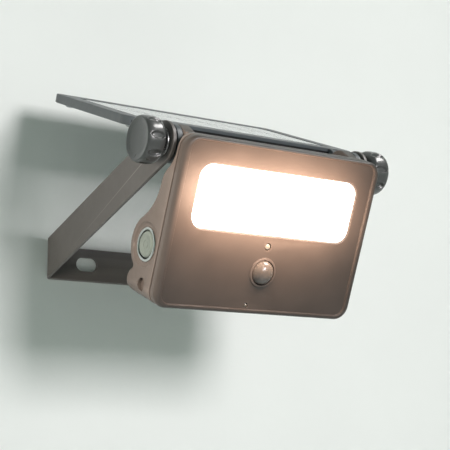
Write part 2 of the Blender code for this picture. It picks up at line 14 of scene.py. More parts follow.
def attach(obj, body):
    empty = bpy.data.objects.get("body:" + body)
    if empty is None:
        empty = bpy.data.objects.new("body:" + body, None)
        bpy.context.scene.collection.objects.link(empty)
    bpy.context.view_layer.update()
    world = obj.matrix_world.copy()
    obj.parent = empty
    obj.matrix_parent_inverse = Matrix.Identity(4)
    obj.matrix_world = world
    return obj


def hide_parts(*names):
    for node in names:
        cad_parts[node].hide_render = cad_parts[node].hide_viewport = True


MM = 0.001
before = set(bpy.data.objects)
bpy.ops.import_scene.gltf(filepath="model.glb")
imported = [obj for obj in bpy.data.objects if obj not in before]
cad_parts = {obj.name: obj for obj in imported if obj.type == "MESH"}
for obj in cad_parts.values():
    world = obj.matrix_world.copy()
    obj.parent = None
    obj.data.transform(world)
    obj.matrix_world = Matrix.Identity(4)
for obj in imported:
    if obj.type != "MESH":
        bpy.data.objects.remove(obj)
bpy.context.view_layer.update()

# Sizes that part.py also uses, in millimetres
AXIS = Vector((0, -138.4, 47.7))
LAMP_TILT = radians(22.2)
PANEL_TILT = radians(20.7)
SHEET, BEND_RADIUS, BRACKET_HALF = 2.0, 3.2, 65.7
STRAP_HALF_HEIGHT, ARM_ROOT_TOP, ARM_HALF_WIDTH = 10.3, 14.1, 11.6
SLOT_X, SLOT_Z, SLOT_HALF_LENGTH, SLOT_HALF_WIDTH = 38.5, 0.5, 7.2, 4.2
STUD_RADIUS, STUD_HOLE, KNUCKLE_RADIUS = 3.0, 3.4, 10.6
PANEL_KNUCKLE, LAMP_KNUCKLE = (58.9, 62.4), (51.9, 58.6)
NUT_END, NUT_RADIUS = 57.0, 5.7
KNOB_NECK_END, KNOB_FACE, KNOB_RADIUS, KNOB_RECESSES = 67.1, 81.1, 12.9, 8
LAMP_HALF, LAMP_TOP, LAMP_BOTTOM, LAMP_CORNER = 65.2, 8.8, -84.4, 8.5
FACE_Y, PLATE_Y, PLATE_BACK, BEZEL_BACK, HOUSING_FRONT = -23.4, -22.4, -20.2, -18.0, -16.8
RIM_SIDE, RIM_TOP, RIM_BOTTOM = 4.6, 2.0, 3.0
WALL, SIDE_WALL, HINGE_POCKET, POCKET_WALL = 2.2, 3.5, 15.6, 2.0
BULGE, BULGE_RADIUS, LUG, LUG_RADIUS = (-2.8, -55.2), 16.6, (3.5, -76.5), 6.9
LUG_HOLE, LUG_HOLE_RADIUS, LUG_HOLE_DEPTH = (-6.9, -76.3), 3.5, 2.4
WINDOW_HALF, WINDOW_TOP, WINDOW_BOTTOM, WINDOW_CORNER, LENS_FLANGE = 52.2, -4.8, -39.9, 7.7, 2.2
PIR_Z, PIR_RADIUS, PIR_COLLAR = -60.5, 6.9, 8.4
DAYLIGHT_Z, DAYLIGHT_RADIUS = -46.0, 1.7
INDICATOR, INDICATOR_RADIUS = (-6.2, -79.7), 0.9
# Screws of the housing, one at each side: distance from the middle, height, head's seat, end of the boss
SCREW_ROWS = [(40.0, 4.0, -13.0, -10.2), (58.4, -28.0, -8.0, -4.9), (54.0, -76.6, 5.0, 8.6)]
SCREW_RADIUS, SCREW_HOLE, SCREW_HEAD, BOSS_RADIUS = 1.3, 1.6, 2.6, 3.6
BUTTON_RECESS, BUTTON_RECESS_DEPTH, BUTTON_HOLE = 12.2, 1.2, 8.7
BUTTON_RING, BUTTON_RADIUS, BUTTON_FACE = 9.5, 7.4, 65.0
PANEL_HALF, PANEL_FRONT, PANEL_BACK, PANEL_TOP, PANEL_UNDER = 78.7, 21.1, 116.5, 9.4, 4.2
PANEL_BORDER, PANEL_CORNER = 11.6, 6.0
GAP = 0.3
OUTSIDE = 80.0      # past the sides of the bracket and of the lamp head

# Each body's own axes, in metres
WORLD = Matrix.Identity(4)
HINGE = Matrix.Translation(AXIS * MM)
LAMP = HINGE @ Matrix.Rotation(LAMP_TILT, 4, "X")
PANEL = HINGE @ Matrix.Rotation(PANEL_TILT, 4, "X")

CIRCLE = 96         # sides of a circle
CORNER_STEPS = 14   # steps round a rounded corner


# ---- Outlines ----


def arc(centre, radius, start, end, steps):
    """Points round an arc, with its two ends in degrees."""
    angles = [radians(start + (end - start) * step / steps) for step in range(steps + 1)]
    return [(centre[0] + radius * cos(a), centre[1] + radius * sin(a)) for a in angles]


def circle(centre, radius, sides=CIRCLE):
    return arc(centre, radius, 0, 360, sides)[:-1]


def quarter_turn(steps):
    return [radians(90 * step / steps) for step in range(steps + 1)]


def rounded(corners, steps=CORNER_STEPS):
    """The outline through corners (u, v, radius), each rounded by its radius."""
    points = []
    for index, (u, v, radius) in enumerate(corners):
        here = Vector((u, v))
        if not radius:
            points.append((u, v))
            continue
        before = (Vector(corners[index - 1][:2]) - here).normalized()
        after = (Vector(corners[(index + 1) % len(corners)][:2]) - here).normalized()
        half = before.angle(after) / 2
        centre = here + (before + after).normalized() * radius / sin(half)
        start = here + before * radius / tan(half) - centre
        end = here + after * radius / tan(half) - centre
        first = degrees(atan2(start.y, start.x))
        turn = degrees(atan2(start.cross(end), start.dot(end)))
        points += arc(centre, radius, first, first + turn, steps)
    return points


def rectangle(left, right, low, high, radius=0.0, steps=CORNER_STEPS):
    corners = [(left, low), (right, low), (right, high), (left, high)]
    return rounded([(u, v, radius) for u, v in corners], steps)


def through(points, steps=6):
    """A smooth line through the points, Catmull-Rom."""
    ends = [points[0]] + list(points) + [points[-1]]
    line = []
    for a, b, c, d in zip(ends, ends[1:], ends[2:], ends[3:]):
        for step in range(steps):
            t = step / steps
            line.append(tuple(
                0.5 * (
                    2 * q + (r - p) * t + (2 * p - 5 * q + 4 * r - s) * t**2
                    + (3 * q - p - 3 * r + s) * t**3
                )
                for p, q, r, s in zip(a, b, c, d)
            ))
    return line + [points[-1]]


def inset(points, distance):
    """The outline moved inwards by distance."""
    moved = []
    for index, point in enumerate(points):
        before = (Vector(point) - Vector(points[index - 1])).normalized()
        after = (Vector(points[(index + 1) % len(points)]) - Vector(point)).normalized()
        inward = (before + after).orthogonal().normalized()
        moved.append(tuple(Vector(point) + inward * distance / inward.dot(after.orthogonal())))
    return moved


# ---- Solids, in millimetres ----

# Where a point (u, v) of an outline lies, w along each axis
TO_SPACE = {
    "X": lambda u, v, w: (w, u, v),
    "Y": lambda u, v, w: (u, w, v),
    "Z": lambda u, v, w: (u, v, w),
}


def in_scene(name, data):
    obj = bpy.data.objects.new(name, data)
    bpy.context.scene.collection.objects.link(obj)
    return obj


def new_object(name, bm):
    bmesh.ops.recalc_face_normals(bm, faces=bm.faces)
    mesh = bpy.data.meshes.new(name)
    bm.to_mesh(mesh)
    bm.free()
    return in_scene(name, mesh)


def loft(name, rings, closed=False):
    """A skin through rings of the same number of points, capped at both ends unless it closes on itself."""
    bm = bmesh.new()
    grid = [[bm.verts.new(point) for point in ring] for ring in rings]
    pairs = list(zip(grid, grid[1:])) + ([(grid[-1], grid[0])] if closed else [])
    for first, second in pairs:
        for index in range(len(first)):
            after = (index + 1) % len(first)
            bm.faces.new((first[index], first[after], second[after], second[index]))
    if not closed:
        for ring in (grid[0], grid[-1]):
            if (ring[0].co - ring[len(ring) // 2].co).length > 1e-3:
                bm.faces.new(ring)
    bmesh.ops.remove_doubles(bm, verts=bm.verts, dist=1e-4)
    return new_object(name, bm)


def prism(name, outline, axis, low, high):
    place = TO_SPACE[axis]
    return loft(name, [[place(u, v, w) for u, v in outline] for w in (low, high)])


def soft_prism(name, outline, axis, low, high, radius, steps=4):
    """A prism whose two end edges are rounded."""
    place = TO_SPACE[axis]
    levels = [(radius * (1 - sin(a)), radius * (1 - cos(a))) for a in quarter_turn(steps)]
    stations = [(low + depth, inwards) for inwards, depth in levels]
    stations += [(high - depth, inwards) for inwards, depth in reversed(levels)]
    return loft(name, [[place(u, v, w) for u, v in inset(outline, i)] for w, i in stations])


def flared(name, outline_at, axis, levels):
    """A solid whose outline changes along axis. levels are (place along the axis, distance outwards)."""
    place = TO_SPACE[axis]
    return loft(name, [[place(u, v, w) for u, v in outline_at(out)] for w, out in levels])


def cylinder(name, axis, low, high, centre, radius, sides=CIRCLE):
    return prism(name, circle(centre, radius, sides), axis, low, high)


def side_cylinder(name, sign, near, far, centre, radius, sides=48):
    """A cylinder along X from near to far, on the side that sign says."""
    return cylinder(name, "X", *sorted((sign * near, sign * far)), centre, radius, sides)


def lathe(name, profile, axis, centre=(0, 0), sign=1, sides=CIRCLE, closed=False, radius_at=None):
    """A profile of (radius, place along the axis) turned round the axis.

    sign -1 mirrors it to the other side, and radius_at(radius, place, angle) shapes its skin.
    """
    place = TO_SPACE[axis]
    rings = []
    for radius, height in profile:
        ring = []
        for index in range(sides):
            angle = 2 * pi * index / sides
            here = radius_at(radius, height, angle) if radius_at else radius
            ring.append(place(
                centre[0] + here * cos(angle), centre[1] + here * sin(angle), sign * height
            ))
        rings.append(ring)
    return loft(name, rings, closed)


def boolean(obj, operation, *others):
    """Applies the operation with each of the others, which are used up."""
    for other in others:
        modifier = obj.modifiers.new("boolean", "BOOLEAN")
        modifier.operation = operation
        modifier.solver = "EXACT"
        modifier.object = other
    graph = bpy.context.evaluated_depsgraph_get()
    mesh = bpy.data.meshes.new_from_object(obj.evaluated_get(graph))
    obj.modifiers.clear()
    obj.data = mesh
    for other in others:
        bpy.data.objects.remove(other)
    clean(obj)


def cut(obj, *others):
    boolean(obj, "DIFFERENCE", *others)


def add(obj, *others):
    boolean(obj, "UNION", *others)


def clean(obj):
    """Merges the slivers that a Boolean leaves, and the points in the middle of a straight edge."""
    sliver, straight_enough = 0.004, 0.002
    bm = bmesh.new()
    bm.from_mesh(obj.data)
    bmesh.ops.remove_doubles(bm, verts=bm.verts, dist=sliver)
    bmesh.ops.dissolve_degenerate(bm, edges=bm.edges, dist=sliver)
    straight = []
    for vert in bm.verts:
        if len(vert.link_edges) == 2:
            before, after = (edge.other_vert(vert).co for edge in vert.link_edges)
            if (before - vert.co).angle(vert.co - after, 1) < straight_enough:
                straight.append(vert)
    bmesh.ops.dissolve_verts(bm, verts=straight)
    bm.to_mesh(obj.data)
    bm.free()


def fillet(obj, width, chosen=None):
    """Rounds the sharp edges, or only those whose two ends pass the test chosen."""
    sharp = radians(30)
    bm = bmesh.new()
    bm.from_mesh(obj.data)
    edges = [
        edge for edge in bm.edges
        if edge.is_manifold and edge.calc_face_angle(0) > sharp
        and (chosen is None or all(chosen(vert.co) for vert in edge.verts))
    ]
    bmesh.ops.bevel(
        bm, geom=edges, offset=width, offset_type="OFFSET", segments=3, profile=0.5,
        affect="EDGES", clamp_overlap=False, loop_slide=True, material=-1,
    )
    bmesh.ops.remove_doubles(bm, verts=bm.verts, dist=0.002)
    bm.to_mesh(obj.data)
    bm.free()


def on_circle(centre, radius):
    """A test of whether a point lies on a cylinder along X."""
    slack = 0.06
    return lambda co: abs(hypot(co.y - centre[0], co.z - centre[1]) - radius) < slack


def place_piece(obj, axes, body, slot, look, *nodes, sharp=38):
    """Puts a solid into its body's axes, and makes it a piece that stands for the CAD nodes.

    Edges above sharp degrees are shaded as edges.
    """
    bm = bmesh.new()
    bm.from_mesh(obj.data)
    bmesh.ops.recalc_face_normals(bm, faces=bm.faces)
    bm.to_mesh(obj.data)
    bm.free()
    obj.data.transform(axes @ Matrix.Scale(MM, 4))
    obj.data.materials.clear()
    obj.data.materials.append(look)
    obj.data.shade_smooth()
    obj.data.set_sharp_from_angle(angle=radians(sharp))
    weighted = obj.modifiers.new("shading", "WEIGHTED_NORMAL")
    weighted.keep_sharp = True
    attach(obj, body)
    if nodes:
        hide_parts(*nodes)


# ---- Materials ----


def shader(name):
    made = bpy.data.materials.new(name)
    made.use_nodes = True
    return made, made.node_tree, made.node_tree.nodes["Principled BSDF"]


def node(tree, kind, **settings):
    made = tree.nodes.new(kind)
    for key, value in settings.items():
        setattr(made, key, value)
    return made


def set_inputs(made, **values):
    """Sets the node's own inputs, named with _ for a space."""
    for key, value in values.items():
        made.inputs[key.replace("_", " ")].default_value = value


def noise(tree, scale, detail=2.0, roughness=0.5):
    """Noise in the piece's own coordinates. scale is features per metre."""
    made = node(tree, "ShaderNodeTexNoise")
    set_inputs(made, Scale=scale, Detail=detail, Roughness=roughness)
    tree.links.new(node(tree, "ShaderNodeTexCoord").outputs["Object"], made.inputs["Vector"])
    return made.outputs["Fac"]


def cells(tree, scale, feature="F1"):
    """Small cells in the piece's own coordinates, as the distance from their middles or edges."""
    made = node(tree, "ShaderNodeTexVoronoi", feature=feature)
    set_inputs(made, Scale=scale)
    tree.links.new(node(tree, "ShaderNodeTexCoord").outputs["Object"], made.inputs["Vector"])
    return made.outputs["Distance"]


def spread(tree, value, low, high, start=0.3, end=0.7):
    """Maps value from start..end to low..high."""
    made = node(tree, "ShaderNodeMapRange")
    set_inputs(made, From_Min=start, From_Max=end, To_Min=low, To_Max=high)
    tree.links.new(value, made.inputs["Value"])
    return made.outputs["Result"]


def shade(tree, value, first, second):
    """A colour between first and second, by value."""
    made = node(tree, "ShaderNodeMix", data_type="RGBA")
    set_inputs(made, A=(*first, 1), B=(*second, 1))
    tree.links.new(value, made.inputs["Factor"])
    return made.outputs["Result"]


def bumps(tree, surface, *layers):
    """Stacks bump layers of (height, distance in metres, strength)."""
    normal = None
    for height, distance, strength in layers:
        made = node(tree, "ShaderNodeBump")
        set_inputs(made, Distance=distance, Strength=strength)
        tree.links.new(height, made.inputs["Height"])
        if normal:
            tree.links.new(normal, made.inputs["Normal"])
        normal = made.outputs["Normal"]
    tree.links.new(normal, surface.inputs["Normal"])


def scaled(colour, factor):
    return tuple(min(1.0, channel * factor) for channel in colour)


def painted(tree, under, colour, amount):
    """Lays colour over the linked colour under, by amount."""
    made = node(tree, "ShaderNodeMix", data_type="RGBA")
    set_inputs(made, B=(*colour, 1))
    tree.links.new(amount, made.inputs["Factor"])
    tree.links.new(under, made.inputs["A"])
    return made.outputs["Result"]


def mottled(tree, colour, scale, dark, light):
    """The colour in soft patches between dark and light times itself."""
    patches = spread(tree, noise(tree, scale, 3), 0, 1)
    return shade(tree, patches, scaled(colour, dark), scaled(colour, light))


def edge_wear_and_highlight(tree, under, edge_colour, amount):
    """Lightens the outer edges: partly the polish that handling gives them, partly a painted highlight where
    the edges catch the light.
    """
    pointed = node(tree, "ShaderNodeNewGeometry").outputs["Pointiness"]
    return painted(tree, under, edge_colour, spread(tree, pointed, 0.0, amount, start=0.52, end=0.60))


def skin(tree, surface, base, roughness):
    """Links the surface's colour and roughness to their patterns."""
    tree.links.new(base, surface.inputs["Base Color"])
    tree.links.new(roughness, surface.inputs["Roughness"])


def moulded(name, colour, roughness, grain=1500.0, depth=0.00002, coat=0.0, edge=0.25):
    """Injection-moulded plastic: a fine spark-eroded grain, slight mottling and flow, and lighter edges that
    are partly polish wear and partly a painted highlight.
    """
    made, tree, surface = shader(name)
    # The lighter edges are partly polish wear and partly a painted highlight.
    base = edge_wear_and_highlight(tree, mottled(tree, colour, 38, 0.88, 1.12), scaled(colour, 2.6), edge)
    skin(tree, surface, base, spread(tree, noise(tree, 210, 4, 0.6), roughness - 0.05, roughness + 0.06))
    set_inputs(surface, Coat_Weight=coat, Coat_Roughness=0.12)
    bumps(
        tree, surface,
        (noise(tree, 60, 2), 0.00012, 0.12),
        (cells(tree, grain * 0.8), depth, 0.25),
        (noise(tree, grain, 3, 0.6), depth, 0.5),
    )
    return made


def coated_metal(name, colour, roughness):
    """Powder-coated steel: a satin skin with orange peel, dust-fine specks, and lighter edges that are partly
    wear and partly a painted highlight.
    """
    made, tree, surface = shader(name)
    specks = spread(tree, cells(tree, 2600), 0.35, 0, 0.0, 0.22)
    base = painted(tree, mottled(tree, colour, 30, 0.9, 1.1), scaled(colour, 1.7), specks)
    # The lighter edges are partly wear and partly a painted highlight where the sheet's edges catch the
    # light.
    base = edge_wear_and_highlight(tree, base, scaled(colour, 3.2), 0.6)
    skin(tree, surface, base, spread(tree, noise(tree, 160, 3, 0.6), roughness - 0.05, roughness + 0.05))
    set_inputs(surface, Metallic=0.15)
    bumps(
        tree, surface,
        (noise(tree, 900, 2, 0.5), 0.00003, 0.35),
        (noise(tree, 3200, 2, 0.6), 0.00001, 0.3),
    )
    return made


def metal(name, colour, roughness):
    """Bare or plated metal with fine turning marks."""
    made, tree, surface = shader(name)
    marks = noise(tree, 900, 3, 0.6)
    base = mottled(tree, colour, 120, 0.86, 1.08)
    skin(tree, surface, base, spread(tree, marks, roughness * 0.7, roughness * 1.4))
    set_inputs(surface, Metallic=1.0)
    bumps(tree, surface, (marks, 0.00001, 0.25))
    return made


def rubber(name, colour, roughness):
    made, tree, surface = shader(name)
    base = mottled(tree, colour, 400, 0.75, 1.3)
    skin(tree, surface, base, spread(tree, noise(tree, 700, 2), roughness - 0.06, roughness + 0.06))
    bumps(tree, surface, (noise(tree, 2400, 3), 0.00002, 0.4))
    return made


def lit_window(name):
    """The frosted cover, lit from behind: a fine prismatic pattern, brighter over each emitter."""
    made, tree, surface = shader(name)
    glow = shade(tree, spread(tree, noise(tree, 22, 2), 0, 1), (1.0, 0.93, 0.82), (1.0, 0.95, 0.87))
    skin(tree, surface, glow, spread(tree, noise(tree, 500, 2), 0.28, 0.4))
    tree.links.new(glow, surface.inputs["Emission Color"])
    tree.links.new(spread(tree, cells(tree, 80), 3.4, 2.6, 0.2, 0.9), surface.inputs["Emission Strength"])
    bumps(tree, surface, (cells(tree, 1100), 0.00006, 0.4))
    return made


def smoky_lens(name, colour, roughness):
    """A dense tinted plastic lens, milky inside and polished outside."""
    made, tree, surface = shader(name)
    base = mottled(tree, colour, 160, 0.85, 1.2)
    skin(tree, surface, base, spread(tree, noise(tree, 300, 2), roughness - 0.03, roughness + 0.05))
    set_inputs(surface, Subsurface_Weight=0.25, Subsurface_Radius=(0.002, 0.0018, 0.0016))
    set_inputs(surface, Subsurface_Scale=1.0, Coat_Weight=0.6, Coat_Roughness=0.08)
    bumps(tree, surface, (noise(tree, 900, 2), 0.00002, 0.2))
    return made


def solar_glass(name, colour, fingers):
    """Laminated glass over the cells. fingers draws the cells' fine silver lines."""
    made, tree, surface = shader(name)
    base = mottled(tree, colour, 90, 0.8, 1.3)
    if fingers:
        wave = node(tree, "ShaderNodeTexWave", wave_type="BANDS", bands_direction="Y")
        set_inputs(wave, Scale=180)
        tree.links.new(node(tree, "ShaderNodeTexCoord").outputs["Object"], wave.inputs["Vector"])
        lines = spread(tree, wave.outputs["Fac"], 0, 0.6, 0.93, 1.0)
        base = painted(tree, base, (0.32, 0.33, 0.36), lines)
    skin(tree, surface, base, spread(tree, noise(tree, 70, 3), 0.14, 0.24))
    set_inputs(surface, Coat_Weight=1.0, Coat_Roughness=0.05)
    bumps(tree, surface, (noise(tree, 45, 2), 0.0001, 0.06))
    return made


def board_green(name):
    """A circuit board's lacquer, with paler traces."""
    made, tree, surface = shader(name)
    trace = spread(tree, cells(tree, 260, "DISTANCE_TO_EDGE"), 0, 1, 0.02, 0.06)
    base = shade(tree, trace, (0.05, 0.24, 0.1), (0.015, 0.1, 0.045))
    skin(tree, surface, base, spread(tree, noise(tree, 300, 2), 0.3, 0.45))
    bumps(tree, surface, (trace, 0.00003, 0.5))
    return made


LAMP_PLASTIC = moulded("lamp_plastic", (0.04, 0.033, 0.029), 0.42, edge=0.5)
PANEL_PLASTIC = moulded("panel_plastic", (0.072, 0.084, 0.092), 0.42)
KNOB_PLASTIC = moulded("knob_plastic", (0.056, 0.059, 0.058), 0.32, grain=2200, depth=0.00001, coat=0.5)
BUTTON_PLASTIC = moulded(
    "button_plastic", (0.052, 0.062, 0.055), 0.34, grain=2600, depth=0.000008, coat=0.3, edge=0.1
)
WHITE_PLASTIC = moulded("white_plastic", (0.8, 0.8, 0.77), 0.5, grain=1800, edge=0.0)
BRACKET_STEEL = coated_metal("bracket_steel", (0.105, 0.098, 0.094), 0.44)
HARDWARE_STEEL = metal("hardware_steel", (0.62, 0.62, 0.63), 0.28)
BRIGHT_METAL = metal("bright_ring", (0.58, 0.6, 0.58), 0.14)
BUSBAR = metal("busbar", (0.55, 0.56, 0.58), 0.35)
SEAL_RUBBER = rubber("seal_rubber", (0.018, 0.018, 0.019), 0.75)
CELL_WRAP = moulded("cell_wrap", (0.07, 0.2, 0.4), 0.35, grain=1200, coat=0.3, edge=0.0)
LIT_WINDOW = lit_window("frosted_window")
SENSOR_LENS = smoky_lens("sensor_lens", (0.07, 0.062, 0.056), 0.2)
DAYLIGHT_LENS = smoky_lens("daylight_lens", (0.13, 0.125, 0.11), 0.15)
GLASS = solar_glass("solar_glass", (0.012, 0.014, 0.024), fingers=False)
SOLAR_CELL = solar_glass("solar_cell", (0.012, 0.02, 0.055), fingers=True)
BOARD = board_green("circuit_board")


# ---- Bracket ----


def wall_bracket():
    """The strap and its two arms, folded from one sheet, with the wall slots and the stud holes."""
    arm_end, edge_rounding = -170, 0.3
    right = [
        (BRACKET_HALF, 0, BEND_RADIUS), (BRACKET_HALF, arm_end, 0), (BRACKET_HALF - SHEET, arm_end, 0),
        (BRACKET_HALF - SHEET, -SHEET, BEND_RADIUS - SHEET),
    ]
    left = [(-x, y, radius) for x, y, radius in right]
    outer = left[:1] + right + left[:0:-1]
    low, high = -STRAP_HALF_HEIGHT - 5, AXIS.z + ARM_HALF_WIDTH + 5
    folded = prism("bracket_sheet", rounded(outer, 8), "Z", low, high)
    root_middle = (ARM_ROOT_TOP - STRAP_HALF_HEIGHT) / 2
    slope = degrees(atan2(AXIS.z - root_middle, -AXIS.y))
    side = [(1, -STRAP_HALF_HEIGHT), (1, ARM_ROOT_TOP), (0, ARM_ROOT_TOP)]
    side += arc((AXIS.y, AXIS.z), ARM_HALF_WIDTH, 90 - slope, 270 - slope, 40)
    side += [(0, -STRAP_HALF_HEIGHT)]
    boolean(folded, "INTERSECT", prism("arm_outline", side, "X", -OUTSIDE, OUTSIDE))
    inside = BRACKET_HALF - BEND_RADIUS
    cut(folded, prism("above_strap", rectangle(-inside, inside, STRAP_HALF_HEIGHT, 30), "Y", -20, 5))
    for sign in (-1, 1):
        slot = rectangle(
            sign * SLOT_X - SLOT_HALF_LENGTH, sign * SLOT_X + SLOT_HALF_LENGTH,
            SLOT_Z - SLOT_HALF_WIDTH, SLOT_Z + SLOT_HALF_WIDTH, SLOT_HALF_WIDTH - 0.05,
        )
        cut(folded, prism("slot", slot, "Y", -10, 5))
    cut(folded, cylinder("stud_holes", "X", -OUTSIDE, OUTSIDE, (AXIS.y, AXIS.z), STUD_HOLE, 48))
    fillet(folded, edge_rounding)
    place_piece(folded, WORLD, "bracket", "bracket_steel", BRACKET_STEEL, "wall_bracket")


# ---- Knobs and hinge hardware ----


def knob(side, sign):
    """The barrel-shaped knob. Its finger recesses are pressed into the skin, so their lips are soft."""
    # (radius, depth behind the face), from the middle of the face round the rim to the neck
    rim = [
        (0, 1.2), (4, 1.15), (8.2, 0.85), (10.2, 0.42), (11.0, 0.2), (11.5, 0.13), (11.95, 0.3), (12.3, 0.85),
        (12.62, 1.8), (12.85, 3.2), (KNOB_RADIUS, 5.0), (12.85, 7.0), (12.6, 8.8), (12.1, 10.0), (11.2, 10.9),
        (9.6, 11.35), (7.4, 11.45), (6.6, 11.8),
    ]
    neck = [(6.4, KNOB_NECK_END + 0.4), (6.1, KNOB_NECK_END)]
    profile = through([(radius, KNOB_FACE - depth) for radius, depth in rim] + neck, 8)
    profile.append((STUD_RADIUS + 0.1, KNOB_NECK_END))
    rim_start, middle, step = 11.4, KNOB_FACE - 5.9, 2 * pi / KNOB_RECESSES
    half_width, half_length, deepest, lip_end, lip_width = 1.95, 4.1, 1.5, 1.15, 0.42

    def pressed(radius, height, angle):
        off = (angle - pi / 2 + step / 2) % step - step / 2
        away = hypot(off * KNOB_RADIUS / half_width, (height - middle) / half_length)
        if radius < rim_start or away >= lip_end:
            return radius
        share = min(1.0, (lip_end - away) / lip_width)
        return radius - deepest * share * share * (3 - 2 * share)

    head = lathe("knob_body_" + side, profile, "X", sign=sign, sides=288, radius_at=pressed)
    place_piece(head, HINGE, side + "_knob", "knob_plastic", KNOB_PLASTIC, "knob_" + side)


def threaded_stud(side, sign):
    """The knob's steel stud with its rolled thread."""
    start, end, tip, lead_in, pitch, depth = 50.5, 66.9, 0.5, 1.2, 1.0, 0.42
    steps = int((end - start) / pitch * 8)
    profile = [(0, start), (STUD_RADIUS - 0.6, start)]
    profile += [(STUD_RADIUS, start + tip + (end - start - tip) * step / steps) for step in range(steps + 1)]
    profile += [(STUD_RADIUS - 0.1, end + 0.05), (0, end + 0.05)]

    def thread(radius, height, angle):
        if radius < STUD_RADIUS:
            return radius
        phase = (height / pitch - angle / (2 * pi)) % 1.0
        taper = min(1.0, (height - start) / lead_in)
        return radius - depth * abs(2 * phase - 1) * taper - 0.1 * (1 - taper)

    stud = lathe("stud_thread_" + side, profile, "X", sign=sign, sides=40, radius_at=thread)
    place_piece(stud, HINGE, side + "_knob", "hardware_steel", HARDWARE_STEEL, "knob_stud_" + side, sharp=60)


def flat_washer(side, sign):
    """The washer under the knob, with its edges broken."""
    low, high, outer, hole, edge = 66.0, 66.8, 8.0, STUD_HOLE, 0.2
    profile = [
        (outer - edge, high), (outer - edge * 0.3, high - edge * 0.3), (outer, high - edge),
        (outer, low + edge), (outer - edge * 0.3, low + edge * 0.3), (outer - edge, low),
        (hole + edge, low), (hole, low + edge), (hole, high - edge), (hole + edge, high),
    ]
    washer = lathe("clamp_washer_" + side, profile, "X", sign=sign, closed=True)
    place_piece(washer, HINGE, side + "_knob", "hardware_steel", HARDWARE_STEEL, "flat_washer_" + side)


# ---- Lamp head ----


def lamp_side(fine=True):
    """The rear housing seen from the side, in (y, z), anticlockwise from its front top corner."""
    steps = 3 if fine else 1
    outline = [(HOUSING_FRONT, LAMP_TOP), (HOUSING_FRONT, LAMP_BOTTOM), (-4.0, LAMP_BOTTOM + 0.6)]
    outline += arc(LUG, LUG_RADIUS, -78, 62, 9 * steps)
    outline += arc(BULGE, BULGE_RADIUS, -56, 58, 12 * steps)[:-1]
    flank = [(6.0, -41.12), (1.2, -36.6), (-2.6, -31.0), (-4.9, -24.4), (-6.0, -16.5), (-9.6, -10.5)]
    outline += through(flank, 5) if fine else flank
    outline += arc((-12.1, LAMP_TOP - 2.5), 2.5, 0, 90, 3 * steps)
    return outline


def face_outline(inwards=0.0, half=LAMP_HALF):
    """The lamp head seen from the front, in (x, z)."""
    radius = LAMP_CORNER - inwards
    return rectangle(-half + inwards, half - inwards, LAMP_BOTTOM + inwards, LAMP_TOP - inwards, radius)


